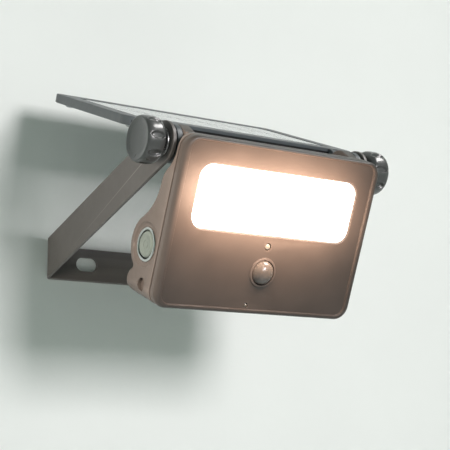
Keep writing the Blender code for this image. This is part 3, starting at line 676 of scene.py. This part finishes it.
def rear_shell():
    """The rear housing: a hollow shell with hinge ears, pockets, screw bosses and the button's recess."""
    # Drawn further forward than it is, so that the rounding of its sides doesn't turn round the front edge
    side = [(y - 15 if y == HOUSING_FRONT else y, z) for y, z in lamp_side()]
    shell = soft_prism("rear_shell", side, "X", -LAMP_HALF, LAMP_HALF, 2.2, 6)
    front_view = prism("front_view", face_outline(half=LAMP_HALF + 0.01), "Y", HOUSING_FRONT, 40)
    boolean(shell, "INTERSECT", front_view)
    inside = LAMP_HALF - SIDE_WALL
    hollow = prism("hollow", inset(lamp_side(fine=False), WALL), "X", -inside, inside)
    mouth = rectangle(-inside, inside, LAMP_BOTTOM + WALL, LAMP_TOP - WALL, LAMP_CORNER - WALL, 5)
    opening = prism("mouth", mouth, "Y", HOUSING_FRONT - 2, HOUSING_FRONT + WALL + 0.5)
    knuckle = arc((0, 0), KNUCKLE_RADIUS, -110, 95, 48) + [(-13.5, 7.0), (-13.5, -13.0), (-8.0, -13.0)]
    for sign in (-1, 1):
        for space in (hollow, opening):
            near = LAMP_KNUCKLE[1] - POCKET_WALL
            cut(space, side_cylinder("kept", sign, near, OUTSIDE, (0, 0), HINGE_POCKET + POCKET_WALL))
    cut(shell, hollow, opening)
    for sign in (-1, 1):
        low, high = sorted((sign * LAMP_KNUCKLE[0], sign * LAMP_KNUCKLE[1]))
        add(shell, soft_prism("ear", knuckle, "X", low, high, 0.5))
        cut(shell, side_cylinder("pocket", sign, LAMP_KNUCKLE[1] + 0.05, OUTSIDE, (0, 0), HINGE_POCKET, 144))
        cut(shell, side_cylinder("nut_seat", sign, 48, NUT_END + GAP, (0, 0), NUT_RADIUS + 0.4, 6))
        cut(shell, side_cylinder("bore", sign, 50, 60, (0, 0), STUD_HOLE))
        near = LAMP_HALF - LUG_HOLE_DEPTH
        cut(shell, side_cylinder("lug_hole", sign, near, OUTSIDE, LUG_HOLE, LUG_HOLE_RADIUS))
    floor = LAMP_HALF - BUTTON_RECESS_DEPTH
    dish = [
        (0, OUTSIDE), (BUTTON_RECESS, OUTSIDE), (BUTTON_RECESS, LAMP_HALF),
        (BUTTON_RECESS - 0.35, LAMP_HALF - 0.6), (BUTTON_RECESS - 1.2, floor + 0.12),
        (BUTTON_RECESS - 2.2, floor), (0, floor),
    ]
    cut(shell, lathe("dish", dish, "X", centre=BULGE, sign=-1))
    cut(shell, cylinder("button_hole", "X", -OUTSIDE, -55, BULGE, BUTTON_HOLE))
    for x, z, seat, end in screws():
        add(shell, cylinder("boss", "Y", HOUSING_FRONT, end, (x, z), BOSS_RADIUS, 32))
        cut(shell, cylinder("hole", "Y", -30, 40, (x, z), SCREW_HOLE, 24))
        cut(shell, cylinder("seat", "Y", seat, 40, (x, z), SCREW_HEAD + GAP, 32))
    at_side = lambda co: abs(abs(co.x) - LAMP_HALF) < 0.02
    past_ear = lambda co: abs(co.x) > LAMP_KNUCKLE[1] + 0.2
    for width, on_edge, where in (
        (0.5, on_circle(LUG_HOLE, LUG_HOLE_RADIUS), at_side),
        (0.45, on_circle(BULGE, BUTTON_RECESS), at_side),
        (0.5, on_circle((0, 0), HINGE_POCKET), past_ear),
    ):
        fillet(shell, width, lambda co: on_edge(co) and where(co))
    for vertex in shell.data.vertices:
        vertex.co.x = max(-LAMP_HALF, min(LAMP_HALF, vertex.co.x))
    place_piece(shell, LAMP, "lamp", "lamp_plastic", LAMP_PLASTIC, "rear_housing")


def screws():
    """The housing's screws as (x, z, head's seat, end of the boss)."""
    return [(sign * x, z, seat, end) for x, z, seat, end in SCREW_ROWS for sign in (-1, 1)]


def bezel_ring(share, y):
    """The bezel's outline with its rim narrowed by share, from 0 at the outer edge to 1 at the plate."""
    outline = rectangle(
        -LAMP_HALF + RIM_SIDE * share, LAMP_HALF - RIM_SIDE * share,
        LAMP_BOTTOM + RIM_BOTTOM * share, LAMP_TOP - RIM_TOP * share, LAMP_CORNER - 3.0 * share,
    )
    return [(u, y, v) for u, v in outline]


def front_frame():
    """The front frame: a rim with a generous outer rounding, a step down to the plate, and the openings."""
    rounding, rounded_share, flat_share, step_share = 2.7, 0.62, 0.78, 0.88
    edge, plate_share = 0.45, 1 - step_share
    rings = [bezel_ring(0.03, BEZEL_BACK), bezel_ring(0, BEZEL_BACK - 0.15)]
    for angle in quarter_turn(10):
        share = rounded_share * (1 - cos(angle))
        rings.append(bezel_ring(share, FACE_Y + rounding * (1 - sin(angle))))
    rings.append(bezel_ring(flat_share, FACE_Y))
    for angle in quarter_turn(5)[1:]:
        share = flat_share + (step_share - flat_share) * sin(angle)
        rings.append(bezel_ring(share, FACE_Y + edge * (1 - cos(angle))))
    for angle in quarter_turn(5)[1:]:
        share = step_share + plate_share * (1 - cos(angle))
        rings.append(bezel_ring(share, FACE_Y + edge + 0.55 * sin(angle)))
    body = loft("front_frame", rings)
    cut(body, prism("behind", face_outline(2.4), "Y", PLATE_BACK, 0))
    collar = lathe("collar", [
        (PIR_COLLAR + 0.5, 20.6), (PIR_COLLAR + 0.5, 22.38), (PIR_COLLAR + 0.1, 22.5), (PIR_COLLAR, 22.75),
        (PIR_COLLAR - 0.08, 23.0), (PIR_COLLAR - 0.35, 23.2), (PIR_RADIUS - 1, 23.2), (PIR_RADIUS - 1, 20.6),
    ], "Y", centre=(0, PIR_Z), sign=-1, closed=True)
    add(body, collar)
    window = flared("window_opening", window_outline, "Y", [
        (-30, 2.0), (PLATE_Y - 0.02, 0.85), (PLATE_Y + 0.1, 0.45), (PLATE_Y + 0.35, 0.12), (PLATE_Y + 0.7, 0),
        (0, 0),
    ])
    cut(body, window)
    for x, z, _, _ in screws():
        add(body, cylinder("boss", "Y", PLATE_BACK - 0.5, BEZEL_BACK, (x, z), BOSS_RADIUS, 24))
        cut(body, cylinder("pilot", "Y", PLATE_BACK - 0.4, 0, (x, z), SCREW_HOLE, 24))
    cut(body, cylinder("pir_hole", "Y", -40, 0, (0, PIR_Z), PIR_RADIUS + GAP))
    for centre, radius in (((0, DAYLIGHT_Z), DAYLIGHT_RADIUS + GAP), (INDICATOR, INDICATOR_RADIUS + GAP)):
        cone = lathe("hole", [
            (0, 30), (radius + 0.5, 30), (radius + 0.5, -PLATE_Y + 0.02), (radius + 0.12, -PLATE_Y - 0.12),
            (radius, -PLATE_Y - 0.4), (radius, 5), (0, 5),
        ], "Y", centre=centre, sign=-1, sides=48)
        cut(body, cone)
    place_piece(body, LAMP, "lamp", "lamp_plastic", LAMP_PLASTIC, "front_bezel")


def window_outline(outwards):
    """The window's opening, or an outline outside it."""
    return rectangle(
        -WINDOW_HALF - outwards, WINDOW_HALF + outwards, WINDOW_BOTTOM - outwards, WINDOW_TOP + outwards,
        WINDOW_CORNER + outwards,
    )


def window_cover():
    """The frosted cover: a flange behind the plate and a slightly crowned front with a rounded edge."""
    front = PLATE_Y + 0.2
    levels = [
        (PLATE_BACK + 1.4, LENS_FLANGE), (PLATE_BACK + GAP, LENS_FLANGE), (PLATE_BACK + GAP, -GAP),
        (front + 0.6, -GAP), (front + 0.25, -GAP - 0.1), (front + 0.08, -GAP - 0.35), (front, -GAP - 0.8),
    ]
    cover = flared("window_cover", window_outline, "Y", levels)
    place_piece(cover, LAMP, "lamp", "frosted_window", LIT_WINDOW, "window_lens")


def sensors():
    """The motion sensor's faceted dome, the daylight window and the indicator."""
    outer = through([
        (0, 27.0), (1.8, 26.86), (3.4, 26.35), (4.9, 25.4), (6.0, 24.2), (6.65, 23.1), (6.85, 22.4)
    ], 6)
    dome = outer + [(PIR_RADIUS, 19.9), (9.2, 19.9), (9.2, 18.9), (5.7, 18.9)]
    dome += [(5.7, 22.4), (4.5, 24.0), (2.6, 25.3), (0, 25.8)]

    def facets(radius, height, angle):
        """Eight shallow grooves between the lens segments, and fine rings across them."""
        base, middle, inside = height < 22.6, radius < 0.8, radius < 5.8 and height < 24.1
        if base or middle or inside:
            return radius
        groove_width, groove_depth, ring_depth = 0.22, 0.09, 0.05
        groove = max(0.0, 1 - abs(sin(4 * angle)) / groove_width)
        ring = max(0.0, sin(radius * 4.6))
        return radius - groove_depth * groove - ring_depth * ring

    lens = lathe("motion_dome", dome, "Y", centre=(0, PIR_Z), sign=-1, sides=160, radius_at=facets)
    place_piece(lens, LAMP, "lamp", "sensor_lens", SENSOR_LENS, "pir_lens", sharp=50)
    front = -PLATE_Y + 0.1
    eye = lathe("daylight_eye", [
        (0, front), (0.8, front - 0.05), (1.35, front - 0.25), (DAYLIGHT_RADIUS, front - 0.7),
        (DAYLIGHT_RADIUS, -PLATE_BACK), (0, -PLATE_BACK),
    ], "Y", centre=(0, DAYLIGHT_Z), sign=-1, sides=48)
    place_piece(eye, LAMP, "lamp", "sensor_lens", DAYLIGHT_LENS, "daylight_window")
    front = -PLATE_Y
    dot = lathe("indicator_eye", [
        (0, front), (0.5, front - 0.05), (INDICATOR_RADIUS, front - 0.35), (INDICATOR_RADIUS, -PLATE_BACK),
        (0, -PLATE_BACK),
    ], "Y", centre=INDICATOR, sign=-1, sides=32)
    place_piece(dot, LAMP, "lamp", "sensor_lens", DAYLIGHT_LENS, "indicator_light")


def button():
    """The push button and the bright ring round it."""
    sleeve, bore = BUTTON_HOLE - GAP, BUTTON_RADIUS + GAP
    # Profiles of (radius, distance from the lamp's middle)
    trim = [
        (BUTTON_RING, 64.33), (BUTTON_RING - 0.12, 64.52), (BUTTON_RING - 0.34, 64.72),
        (BUTTON_RING - 0.62, 64.85), (BUTTON_RING - 0.9, 64.9), (bore + 0.62, 64.85), (bore + 0.34, 64.72),
        (bore + 0.12, 64.5), (bore, 64.2), (bore, 61.9), (sleeve, 61.9), (sleeve, 64.3), (BUTTON_RING, 64.3),
    ]
    ring = lathe("button_trim", trim, "X", centre=BULGE, sign=-1, sides=144, closed=True)
    place_piece(ring, LAMP, "lamp", "bright_ring", BRIGHT_METAL, "button_ring")
    cap = through([
        (0, 64.5), (2.4, 64.55), (4.2, 64.75), (5.2, 64.96), (5.75, BUTTON_FACE), (6.4, 64.86), (6.95, 64.4),
        (7.25, 63.8), (BUTTON_RADIUS, 63.0),
    ], 6)
    cap += [(BUTTON_RADIUS, 61.4), (sleeve, 61.4), (sleeve, 60.4), (2.5, 60.4), (2.5, 56.0), (0, 56.0)]
    pressed = lathe("button_cap", cap, "X", centre=BULGE, sign=-1, sides=144)
    mark = [(2.5, 66), (2.5, 64.4), (1.9, 64.4), (1.9, 66)]
    cut(pressed, lathe("mark", mark, "X", centre=BULGE, sign=-1, closed=True))
    place_piece(pressed, LAMP, "button", "button_plastic", BUTTON_PLASTIC, "push_button")


def screw_head(name, axes, body, axis, centre, base, sign, shank_end, node_name):
    """A pan-head screw with a cross recess. base is its head's underside, sign the way it faces."""
    rise = 2.0 if axis == "Y" else 1.3
    top = base + sign * rise
    profile = [
        (0, top), (1.1, top - sign * 0.05), (1.9, top - sign * 0.3), (2.4, top - sign * 0.75),
        (SCREW_HEAD, top - sign * rise * 0.6), (SCREW_HEAD, base), (SCREW_RADIUS, base),
        (SCREW_RADIUS, shank_end), (0, shank_end),
    ]
    screw = lathe(name, profile, axis, centre=centre, sides=40)
    long, short = 1.5, 0.32
    for wide, high in ((long, short), (short, long)):
        cross = rectangle(centre[0] - wide, centre[0] + wide, centre[1] - high, centre[1] + high)
        cut(screw, prism("cross", cross, axis, *sorted((top - sign * rise * 0.55, top + sign))))
    place_piece(screw, axes, body, "hardware_steel", HARDWARE_STEEL, node_name)


def all_screws():
    for index, (x, z, seat, _) in enumerate(screws(), 1):
        screw_head(
            f"back_screw_{index}", LAMP, "lamp", "Y", (x, z), seat + GAP, 1, PLATE_BACK + 0.2,
            f"housing_screw_{index}",
        )
    for index, spot in enumerate(panel_screw_spots(), 1):
        screw_head(
            f"cover_screw_{index}", PANEL, "panel", "Z", spot, PANEL_UNDER - GAP, -1, 8.0,
            f"panel_screw_{index}",
        )


# ---- Solar panel ----


def panel_outline(border, corner):
    """The panel seen from above, in (x, y), inside a border."""
    left, right = -PANEL_HALF + border, PANEL_HALF - border
    return rectangle(left, right, PANEL_FRONT + border, PANEL_BACK - border, corner)


def panel_screw_spots():
    middle = (PANEL_FRONT + PANEL_BACK) / 2
    reach = (PANEL_BACK - PANEL_FRONT) / 2 - 8
    return [(x, middle + y) for x in (-PANEL_HALF + 8, PANEL_HALF - 8) for y in (-reach, reach)]


def panel_frame():
    """The panel's frame with its rounded edges, the laminate's seat, the hinge bars, and a groove under the
    front lip holding a black strip that is painted shadow.
    """
    under, over = 0.6, 0.5
    rings = []
    for angle in quarter_turn(4):
        rings.append((under * (1 - sin(angle)), PANEL_UNDER + under * (1 - cos(angle))))
    for angle in quarter_turn(6):
        rings.append((over * (1 - cos(angle)), PANEL_TOP - over * (1 - sin(angle))))
    rings = [[(u, v, z) for u, v in panel_outline(i, PANEL_CORNER - i)] for i, z in rings]
    body = loft("panel_surround", rings)

    def seat(out):
        return panel_outline(PANEL_BORDER - out, 2.0 + out)

    cut(body, flared("laminate_seat", seat, "Z", [
        (PANEL_TOP - 2.2, 0), (PANEL_TOP - 0.45, 0), (PANEL_TOP - 0.15, 0.12), (PANEL_TOP - 0.02, 0.4),
        (PANEL_TOP + 3, 0.8),
    ]))
    cut(body, prism("through", panel_outline(PANEL_BORDER + 4, 2.0), "Z", 0, 20))
    cut(body, prism("cover_seat", panel_outline(3.0, 2.0), "Z", 0, PANEL_UNDER + 1.5))
    knuckle = arc((0, 0), KNUCKLE_RADIUS, 60, 300, 60)
    knuckle += [
        (9.0, -5.6), (21.6, PANEL_UNDER + 0.3), (21.6, PANEL_TOP - 0.4), (18.5, PANEL_TOP - 0.4), (10.0, 5.2)
    ]
    for sign in (-1, 1):
        low, high = sorted((sign * PANEL_KNUCKLE[0], sign * PANEL_KNUCKLE[1]))
        add(body, soft_prism("ear", knuckle, "X", low, high, 0.35))
        cut(body, cylinder("bore", "X", low - 1, high + 1, (0, 0), STUD_HOLE, 48))
    for spot in panel_screw_spots():
        cut(body, cylinder("pilot", "Z", 0, 8.4, spot, SCREW_HOLE, 24))
    lip, depth, end = PANEL_TOP - 2.1, 2.0, PANEL_HALF - 4.0
    groove = rectangle(PANEL_FRONT - 1, PANEL_FRONT + depth, PANEL_UNDER - 1, lip)
    cut(body, prism("groove", groove, "X", -end, end))
    place_piece(body, PANEL, "panel", "panel_plastic", PANEL_PLASTIC, "panel_frame")
    # A black rubber strip in the groove: painted shadow, darkening the gap under the panel's front lip.
    strip = rectangle(PANEL_FRONT + 1.1, PANEL_FRONT + depth + 0.1, PANEL_UNDER + 0.2, lip + 0.05, 0.3)
    lip_shadow_strip = soft_prism("panel_seal", strip, "X", -end + 0.05, end - 0.05, 0.2)
    place_piece(lip_shadow_strip, PANEL, "panel", "seal_rubber", SEAL_RUBBER)


def solar_top():
    """The laminate, and its cells and silver busbars laid out as on a real one."""
    top = PANEL_TOP - 0.3

    def sheet(out):
        return panel_outline(PANEL_BORDER + GAP - out, 2.0 + out)

    laminate = flared("laminate", sheet, "Z", [
        (PANEL_TOP - 1.9, 0), (top - 0.25, 0), (top - 0.07, -0.08), (top, -0.25),
    ])
    place_piece(laminate, PANEL, "panel", "solar_glass", GLASS, "solar_laminate")
    edge, columns, rows, space, clip = 2.6, 6, 2, 0.9, 1.6
    left, right = -PANEL_HALF + PANEL_BORDER + edge, PANEL_HALF - PANEL_BORDER - edge
    front, back = PANEL_FRONT + PANEL_BORDER + edge, PANEL_BACK - PANEL_BORDER - edge
    width = (right - left - space * (columns - 1)) / columns
    length = (back - front - space * (rows - 1)) / rows
    cell_bm, bar_bm = bmesh.new(), bmesh.new()

    def slab(bm, outline, low, high):
        lower = [bm.verts.new((u, v, low)) for u, v in outline]
        upper = [bm.verts.new((u, v, high)) for u, v in outline]
        bm.faces.new(upper)
        bm.faces.new(lower[::-1])
        for index in range(len(outline)):
            after = (index + 1) % len(outline)
            bm.faces.new((lower[index], lower[after], upper[after], upper[index]))

    for column in range(columns):
        x = left + column * (width + space)
        for row in range(rows):
            y = front + row * (length + space)
            far, end = y + length, x + width
            corners = [
                (x + clip, y), (end - clip, y), (end, y + clip), (end, far - clip),
                (end - clip, far), (x + clip, far), (x, far - clip), (x, y + clip),
            ]
            slab(cell_bm, corners, top - 0.2, top + 0.04)
        for share in (0.27, 0.73):
            bar = x + width * share
            slab(bar_bm, rectangle(bar - 0.35, bar + 0.35, front + 0.8, back - 0.8), top - 0.1, top + 0.08)
    place_piece(new_object("solar_cells", cell_bm), PANEL, "panel", "solar_glass", SOLAR_CELL)
    for y in (front - 1.2, back + 0.5):
        slab(bar_bm, rectangle(left + 2, right - 2, y, y + 0.7), top - 0.1, top + 0.06)
    place_piece(new_object("solar_busbars", bar_bm), PANEL, "panel", "bright_ring", BUSBAR)


def back_cover():
    """The panel's underside: a plate with three shallow stiffening channels."""
    low, high = PANEL_UNDER, PANEL_UNDER + 1.2

    def plate(out):
        return panel_outline(3.0 + GAP - out, 2.0 + out)

    edge = [(high, 0), (low + 0.3, 0), (low + 0.09, -0.09), (low, -0.3)]
    cover = flared("underside_plate", plate, "Z", edge)
    half, end = 15, 20
    for x in (-46, 0, 46):
        channel = lambda out, x=x: rectangle(
            x - half - out, x + half + out, PANEL_FRONT + end - out, PANEL_BACK - end + out, 5 + out
        )
        levels = [(low - 1, 0.5), (low - 0.01, 0.4), (low + 0.15, 0.1), (low + 0.5, 0)]
        cut(cover, flared("channel", channel, "Z", levels))
    for spot in panel_screw_spots():
        cut(cover, cylinder("hole", "Z", 0, 8.0, spot, SCREW_HOLE, 24))
    place_piece(cover, PANEL, "panel", "panel_plastic", PANEL_PLASTIC, "panel_back_cover")


# ---- Nodes that keep their CAD shape ----


def carried_over():
    """Gives the CAD nodes that keep their shape a material each."""
    looks = {
        "friction_washer": SEAL_RUBBER, "captive_nut": HARDWARE_STEEL, "reflector_tray": WHITE_PLASTIC,
        "led_board": WHITE_PLASTIC, "pir_sensor": HARDWARE_STEEL, "control_board": BOARD,
        "housing_gasket": SEAL_RUBBER, "battery_cell": CELL_WRAP, "battery_cradle": WHITE_PLASTIC,
        "tact_switch": SEAL_RUBBER, "switch_board": BOARD,
    }
    for name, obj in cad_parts.items():
        for start, look in looks.items():
            if name.startswith(start):
                obj.data.materials.clear()
                obj.data.materials.append(look)


# ---- Stage, light and camera ----


def plain(name, colour, one_sided=False):
    """Pale paint. A one-sided wall doesn't block the views from behind it."""
    made, tree, surface = shader(name)
    tree.links.new(mottled(tree, colour, 9, 0.985, 1.01), surface.inputs["Base Color"])
    set_inputs(surface, Roughness=0.85, Specular_IOR_Level=0.2)
    bumps(tree, surface, (noise(tree, 260, 4, 0.6), 0.0003, 0.25))
    if one_sided:
        clear = node(tree, "ShaderNodeBsdfTransparent")
        mixed = node(tree, "ShaderNodeMixShader")
        facing = node(tree, "ShaderNodeNewGeometry")
        tree.links.new(facing.outputs["Backfacing"], mixed.inputs["Fac"])
        tree.links.new(surface.outputs["BSDF"], mixed.inputs[1])
        tree.links.new(clear.outputs["BSDF"], mixed.inputs[2])
        tree.links.new(mixed.outputs["Shader"], tree.nodes["Material Output"].inputs["Surface"])
    return made


def stage_plane(name, corners, look):
    mesh = bpy.data.meshes.new(name)
    mesh.from_pydata(corners, [], [(0, 1, 2, 3)])
    mesh.materials.append(look)
    in_scene(name, mesh)


def area_light(name, location, target, size, power, colour, size_y=None):
    data = bpy.data.lights.new(name, "AREA")
    data.shape = "RECTANGLE"
    data.size, data.size_y = size, size_y or size
    data.energy, data.color = power, colour
    obj = in_scene(name, data)
    obj.location = location
    obj.rotation_euler = (Vector(target) - Vector(location)).to_track_quat("-Z", "Y").to_euler()
    return obj


def sky(tree):
    """A pale room whose light comes mostly from low down, off the floor."""
    split = node(tree, "ShaderNodeSeparateXYZ")
    tree.links.new(node(tree, "ShaderNodeTexCoord").outputs["Generated"], split.inputs["Vector"])
    # (height from 0 straight down to 1 straight up, brightness)
    stops = [(0.0, 0.52), (0.5, 0.52), (0.68, 0.14), (1.0, 0.1)]
    ramp = node(tree, "ShaderNodeValToRGB")
    for height, _ in stops[1:-1]:
        ramp.color_ramp.elements.new(height)
    for element, (height, level) in zip(ramp.color_ramp.elements, stops):
        element.position = height
        element.color = (0.80 * level, level, 0.88 * level, 1)
    tree.links.new(spread(tree, split.outputs["Z"], 0, 1, -1, 1), ramp.inputs["Fac"])
    tree.links.new(ramp.outputs["Color"], tree.nodes["Background"].inputs["Color"])


def stage_and_light():
    """The wall and the floor, the studio light, and soft accents that reach only some pieces."""
    wall_y, floor_z = 0.0006, -0.75
    stage_plane(
        "wall", [(-3, wall_y, floor_z), (3, wall_y, floor_z), (3, wall_y, 3), (-3, wall_y, 3)],
        plain("wall_paint", (0.86, 0.89, 0.87), one_sided=True),
    )
    stage_plane(
        "floor", [(-4, -5, floor_z), (4, -5, floor_z), (4, 4, floor_z), (-4, 4, floor_z)],
        plain("floor_paint", (0.8, 0.81, 0.8)),
    )
    world = bpy.data.worlds.new("room")
    world.use_nodes = True
    sky(world.node_tree)
    bpy.context.scene.world = world
    area_light("key", (0.16, -1.15, 0.22), (0, -0.1, 0.03), 0.34, 9.6, (1.0, 0.95, 0.96))
    strip = area_light("overhead", (0.62, -0.6, 0.95), (0, -0.14, 0.03), 0.7, 9.0, (1.0, 0.98, 0.96), 0.25)
    strip.visible_diffuse = False
    # Each accent: its light, then the pieces that it reaches
    warm, daylight = (1.0, 0.9, 0.8), (0.96, 1.0, 0.97)
    accents = [
        (("lamp_glow", (-0.26, -0.24, 0.03), (-0.065, -0.14, 0.0), 0.08, 3.0, warm),
         ("rear_shell", "button_cap", "button_trim")),
        (("rim_glow", (-0.32, -0.175, 0.02), (-0.065, -0.15, 0.0), 0.08, 2.4, warm), ("front_frame",)),
        (("arm_glow", (-0.32, -0.2, -0.02), (-0.065, -0.06, 0.02), 0.1, 0.5, (1.0, 0.86, 0.74)),
         ("bracket_sheet", "panel_surround")),
        (("floor_wash", (0, 0, 2.4), (0, 0, 0), 5.0, 75.0, daylight), ("floor",)),
        (("rear_floor_wash", (0, 3, 2.4), (0, 3, 0), 5.0, 260.0, daylight), ("floor",)),
    ]
    for light, names in accents:
        only_on(area_light(*light), *names)
    # Light for the views from behind, which the wall doesn't block
    back = area_light("back_fill", (0.15, 1.1, 0.1), (0, -0.1, 0), 0.9, 16.0, (0.98, 1.0, 0.98))
    stage = ("wall", "floor")
    solids = [obj.name for obj in bpy.data.objects if obj.type == "MESH" and obj.name not in stage]
    back.light_linking.blocker_collection = only_on(back, *solids)
    # The lamp's own glow, which falls on the face round the window
    centre = LAMP @ (Vector((-6, -42, (WINDOW_TOP + WINDOW_BOTTOM) / 2 + 2)) * MM)
    target = LAMP @ (Vector((-6, 0, -22)) * MM)
    glow = area_light("window_glow", centre, target, 0.095, 0.5, (1.0, 0.7, 0.52), 0.022)
    only_on(glow, "front_frame", "motion_dome", "daylight_eye", "indicator_eye")


def only_on(light, *names):
    """Lets the light reach only the named pieces, unseen by the camera and in reflections."""
    light.visible_camera = light.visible_glossy = False
    group = bpy.data.collections.new(light.name + "_subjects")
    for name in names:
        group.objects.link(bpy.data.objects[name])
    light.light_linking.receiver_collection = group
    return group


def camera():
    """The camera at the photograph's place and viewing angle."""
    place, yaw, pitch, roll = Vector((-0.39203, -0.68741, -0.10762)), -0.588, 0.172, 0.001
    data = bpy.data.cameras.new("view")
    data.sensor_width, data.lens = 36.0, 99.4
    data.clip_start, data.clip_end = 0.01, 20
    turn = Matrix.Rotation(yaw, 3, "Z") @ Matrix.Rotation(pitch, 3, "X") @ Matrix.Rotation(roll, 3, "Y")
    right, up, back = turn @ Vector((1, 0, 0)), turn @ Vector((0, 0, 1)), -(turn @ Vector((0, 1, 0)))
    pose = Matrix((right, up, back)).transposed().to_4x4()
    pose.translation = place
    obj = in_scene("view", data)
    obj.matrix_world = pose
    bpy.context.scene.camera = obj


wall_bracket()
for side, sign in (("left", -1), ("right", 1)):
    knob(side, sign)
    threaded_stud(side, sign)
    flat_washer(side, sign)
rear_shell()
front_frame()
window_cover()
sensors()
button()
all_screws()
panel_frame()
solar_top()
back_cover()
carried_over()
stage_and_light()
camera()
bpy.context.scene.view_settings.view_transform = "Standard"
